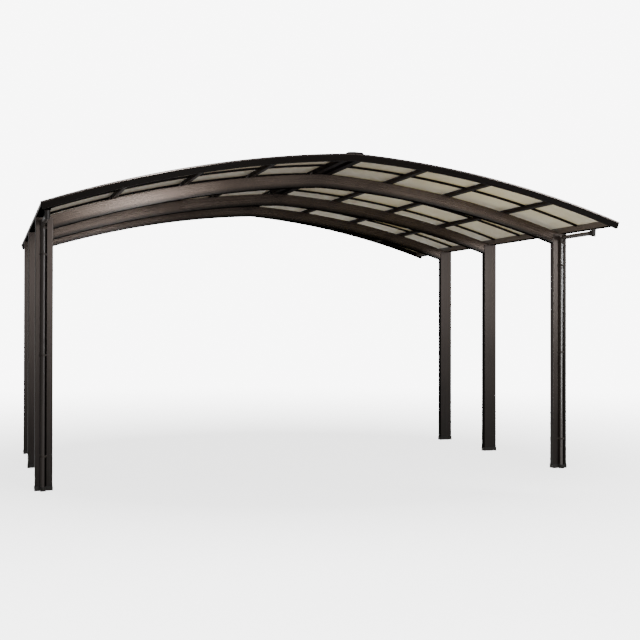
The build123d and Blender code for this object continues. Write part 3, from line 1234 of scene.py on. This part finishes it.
@dataclass(frozen=True)
class Drainage(SubAssembly):
    """Fittings of the pipes: sleeves, rims, strainers and clips."""

    pipe_x: float = 2.699
    pipe_y: float = -1.511
    pipe_z: float = 2.4785
    pipe_radius: float = 0.023
    pipe_bend: float = 0.034
    outlet_y: float = -2.131
    collar_length: float = 0.054
    collar_radius: float = 0.027
    clip_heights: Triple = (0.32, 1.25, 2.18)
    clip_width: float = 0.018
    strainer_radius: float = 0.0195
    rib_radius: float = 0.0011
    strainer_ribs: int = 8

    def build(self) -> None:
        """Makes the fittings on both sides."""
        sleeves, rims, strainers, clips, screws = [], [], [], [], []
        for side in SIDES.values():
            x = side * self.pipe_x
            rings = self.rings(x)
            sleeves += rings[:2]
            rims += rings[2:]
            strainers.append(self.strainer(x))
            for height in self.clip_heights:
                parts, heads = self.clip(x, height)
                clips += parts
                screws += heads
        self.fit(sleeves, "pipe_sleeves", Finish.CLIP, "drain_plastic")
        self.fit(rims, "outlet_rims", Finish.CLIP, "drain_plastic")
        self.fit(strainers, "gutter_strainers", Finish.SHOE, "shoe_dark")
        self.fit(clips, "pipe_clips", Finish.CLIP, "drain_plastic")
        self.fixings("pipe_clip_screws", HeadKind.PAN, screws, Finish.CLIP, "drain_plastic")

    def rings(self, x: float) -> list[Piece]:
        """Makes the rings of one side's pipe.

        Args:
            x: the pipe's place across.

        Returns:
            The sockets below and before the bend, and the rims under the gutter and on the
            collar's end.
        """
        pipe, collar = self.pipe_radius, self.collar_radius
        socket = ((pipe + 0.0002, pipe + 0.0026), (-0.032, -0.010), 0.0008)
        lip = ((0.0238, 0.0268), (-0.0065, -0.0008), 0.0009)
        end = ((collar - 0.0004, collar + 0.0018), (-0.008, -0.0004), 0.0008)
        rows = (
            (socket, at(x, self.pipe_y, self.pipe_z - self.pipe_bend)),
            (socket, facing((x, self.pipe_y - self.pipe_bend, self.pipe_z), (0, 1, 0))),
            (lip, at(x, self.outlet_y, self.shape.post_height)),
            (end, facing((x, self.outlet_y + self.collar_length, self.pipe_z), (0, 1, 0))),
        )
        return [self.bench.ring(*sizes, place) for sizes, place in rows]

    def clip(self, x: float, height: float) -> tuple[list[Piece], list[Matrix]]:
        """Makes a band that holds the pipe to the post's front face.

        Args:
            x: the pipe's place across.
            height: the clip's middle.

        Returns:
            The band and its plate on the post, and the places of two screws.
        """
        radii = (self.pipe_radius + 0.0002, self.pipe_radius + 0.0020)
        half = self.clip_width / 2
        band = self.bench.ring(radii, (-half, half), 0.0006, at(x, self.pipe_y, height))
        face = FRONT_FACES["front"]
        size = (0.078, 0.0024, self.clip_width)
        plate = self.bench.bar(size, at(x, face - 0.0014, height), edge=0.0007)
        heads = [facing((x + out * 0.033, face - 0.0026, height), (0, -1, 0)) for out in (-1, 1)]
        return [band, plate], heads

    def strainer(self, x: float) -> Piece:
        """Makes the domed strainer in the gutter over the outlet.

        Args:
            x: the outlet's place across.

        Returns:
            A foot ring with bent bars.
        """
        thickness = 0.003
        parts = [self.bench.ring((0.0178, 0.0212), (0.0, thickness), 0.0008, at(0.0, 0.0, 0.0))]
        for step in range(self.strainer_ribs):
            self.bench.select()
            turn = 2 * math.pi * step / self.strainer_ribs
            across, ahead = math.cos(turn), math.sin(turn)
            start = (self.strainer_radius * across, self.strainer_radius * ahead, thickness)
            bpy.ops.mesh.primitive_circle_add(
                vertices=6, radius=self.rib_radius, fill_type="NGON", location=start
            )
            rib = self.bench.open_mesh()
            bpy.ops.mesh.spin(
                steps=7, angle=math.radians(84), center=(0.0, 0.0, thickness),
                axis=(ahead, -across, 0.0),
            )
            parts.append(self.bench.settle(rib))
        whole = self.bench.joined(parts, "strainer")
        whole.data.transform(at(x, self.outlet_y, self.shape.post_height + thickness))
        return whole


@dataclass(frozen=True)
class PostFeet(SubAssembly):
    """Screws and seals of the collars at the posts' feet."""

    shoe_height: float = 0.042
    shoe_wall: float = 0.003
    screw_height: float = 0.024
    screw_shift: float = 0.018
    seal_width: float = 0.0027
    seal_height: float = 0.003
    seal_corner: float = 0.006

    def build(self) -> None:
        """Makes the seal on each collar's upper edge and its screws."""
        shape = self.shape
        seals, places = [], []
        for side in SIDES.values():
            x = side * (shape.gutter_outer - shape.post_width / 2)
            for y in shape.post_middles:
                seals.append(self.seal(x, y))
                for out in (-1, 1):
                    face = x + out * (shape.post_width / 2 + self.shoe_wall)
                    for shift in (-self.screw_shift, self.screw_shift):
                        places.append(facing((face, y + shift, self.screw_height), (out, 0, 0)))
        self.fit(seals, "shoe_seals", Finish.RUBBER, "shoe_dark")
        self.fixings("shoe_screws", HeadKind.PAN, places)

    def seal(self, x: float, y: float) -> Piece:
        """Makes the bead of sealant round one post, on the collar's upper edge.

        Args:
            x: the post's middle across.
            y: the depth of its middle.

        Returns:
            The bead.
        """
        shape = self.shape
        self.bench.select()
        bpy.ops.mesh.primitive_plane_add(size=1.0, location=(x, y, self.shoe_height))
        wide = 2 * self.seal_width
        size = (shape.post_width + wide, shape.post_thickness + wide, 1.0)
        piece = self.bench.open_mesh(size, self.seal_corner, segments=4)
        bpy.ops.mesh.inset(thickness=self.seal_width, depth=self.seal_height)
        bpy.ops.mesh.delete(type="FACE")
        bpy.ops.object.mode_set(mode="OBJECT")
        return self.bench.settle(piece, smooth=60.0)


@dataclass(frozen=True)
class Softbox:
    """A rectangular studio light: its place, what it faces, its sides and its watts."""

    name: str
    place: Triple
    target: Triple
    size: Pair
    power: float

    def hang(self) -> None:
        """Adds the light to the scene."""
        data = bpy.data.lights.new(self.name, "AREA")
        data.shape = "RECTANGLE"
        data.size, data.size_y = self.size
        data.energy = self.power
        lamp = bpy.data.objects.new(self.name, data)
        lamp.matrix_world = facing(self.place, Vector(self.place) - Vector(self.target))
        bpy.context.scene.collection.objects.link(lamp)


@dataclass(frozen=True)
class Studio:
    """Camera at the photograph's place, soft lights and a pale floor."""

    camera_place: Triple = (-3.2080, -11.4950, 1.5231)
    yaw: float = 17.6576
    pitch: float = 0.3296
    roll: float = 0.1005
    focal_pixels: float = 1051.38
    frame_pixels: int = 640
    sensor: float = 36.0
    sky_seen: float = 8.0
    sky_shed: float = 0.4
    floor_size: float = 120.0
    floor_height: float = -0.0005
    softboxes: tuple[Softbox, ...] = (
        Softbox("key_softbox", (-0.97, -6.5, 2.62), (-1.72, -1.485, 2.75), (0.7, 0.8), 120.0),
        Softbox("fill_softbox", (-1.2, -6.2, 1.75), (-1.9, 0.1, 2.75), (0.8, 0.7), 45.0),
        Softbox("low_softbox", (4.7, -7.6, 2.5), (2.2, -0.6, 2.5), (1.7, 1.2), 220.0),
        Softbox("front_strip", (-5.6, -12.8, 0.95), (2.7, -1.4, 0.95), (0.6, 3.3), 88.0),
        Softbox("pipe_strip", (1.30, -2.90, 1.20), (2.7, -1.5, 1.2), (0.30, 1.4), 18.0),
        Softbox("top_softbox", (0.5, -1.0, 8.5), (0.0, 0.0, 0.0), (6.0, 6.0), 150.0),
    )

    def build(self, paint: Paintshop) -> None:
        """Sets up camera, lights, sky and floor.

        Args:
            paint: the paintshop, for the floor.
        """
        self.camera()
        for softbox in self.softboxes:
            softbox.hang()
        self.sky()
        self.floor(paint)

    def camera(self) -> None:
        """Places the camera from its yaw, pitch and roll."""
        yaw, pitch, roll = (math.radians(a) for a in (self.yaw, self.pitch, self.roll))
        turn = Matrix.Rotation(-yaw, 4, "Z") @ Matrix.Rotation(math.pi / 2 + pitch, 4, "X")
        data = bpy.data.cameras.new("photo_camera")
        data.sensor_width = self.sensor
        data.lens = self.sensor * self.focal_pixels / self.frame_pixels
        data.clip_end = 400.0
        camera = bpy.data.objects.new("photo_camera", data)
        camera.matrix_world = at(*self.camera_place) @ turn @ Matrix.Rotation(roll, 4, "Z")
        bpy.context.scene.collection.objects.link(camera)
        bpy.context.scene.camera = camera

    def sky(self) -> None:
        """Sets an even white surround, bright to the camera and soft on the object."""
        world = bpy.data.worlds.new("studio_white")
        world.use_nodes = True
        tree = world.node_tree
        background = tree.nodes["Background"]
        background.inputs["Color"].default_value = (1.0, 1.0, 1.0, 1.0)
        rays = tree.nodes.new("ShaderNodeLightPath")
        strength = tree.nodes.new("ShaderNodeMapRange")
        strength.inputs["To Min"].default_value = self.sky_shed
        strength.inputs["To Max"].default_value = self.sky_seen
        tree.links.new(rays.outputs["Is Camera Ray"], strength.inputs["Value"])
        tree.links.new(strength.outputs["Result"], background.inputs["Strength"])
        bpy.context.scene.world = world

    def floor(self, paint: Paintshop) -> None:
        """Lays the floor under the posts.

        Args:
            paint: the paintshop.
        """
        bpy.ops.object.select_all(action="DESELECT")
        middle = (0.0, 0.0, self.floor_height)
        bpy.ops.mesh.primitive_plane_add(size=self.floor_size, location=middle)
        floor = bpy.context.object
        bpy.ops.object.transform_apply(location=True, rotation=True, scale=True)
        floor.name = "studio_floor"
        paint.coat(floor, Finish.FLOOR)


def main() -> None:
    """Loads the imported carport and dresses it."""
    logging.basicConfig(level=logging.INFO, format="%(name)s: %(message)s")
    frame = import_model()
    shape = RoofShape()
    bench = Workbench(shape)
    paint = Paintshop(shape)
    Studio().build(paint)
    paint.coat_nodes(frame["nodes"])
    for group in (RoofEdging, Glazing, RidgeTrim, FrameFixings, Drainage, PostFeet):
        group(bench, paint).build()
        LOG.info("sub-assembly %s is done", group.__name__)
    bench.select()


if __name__ == "__main__":
    main()
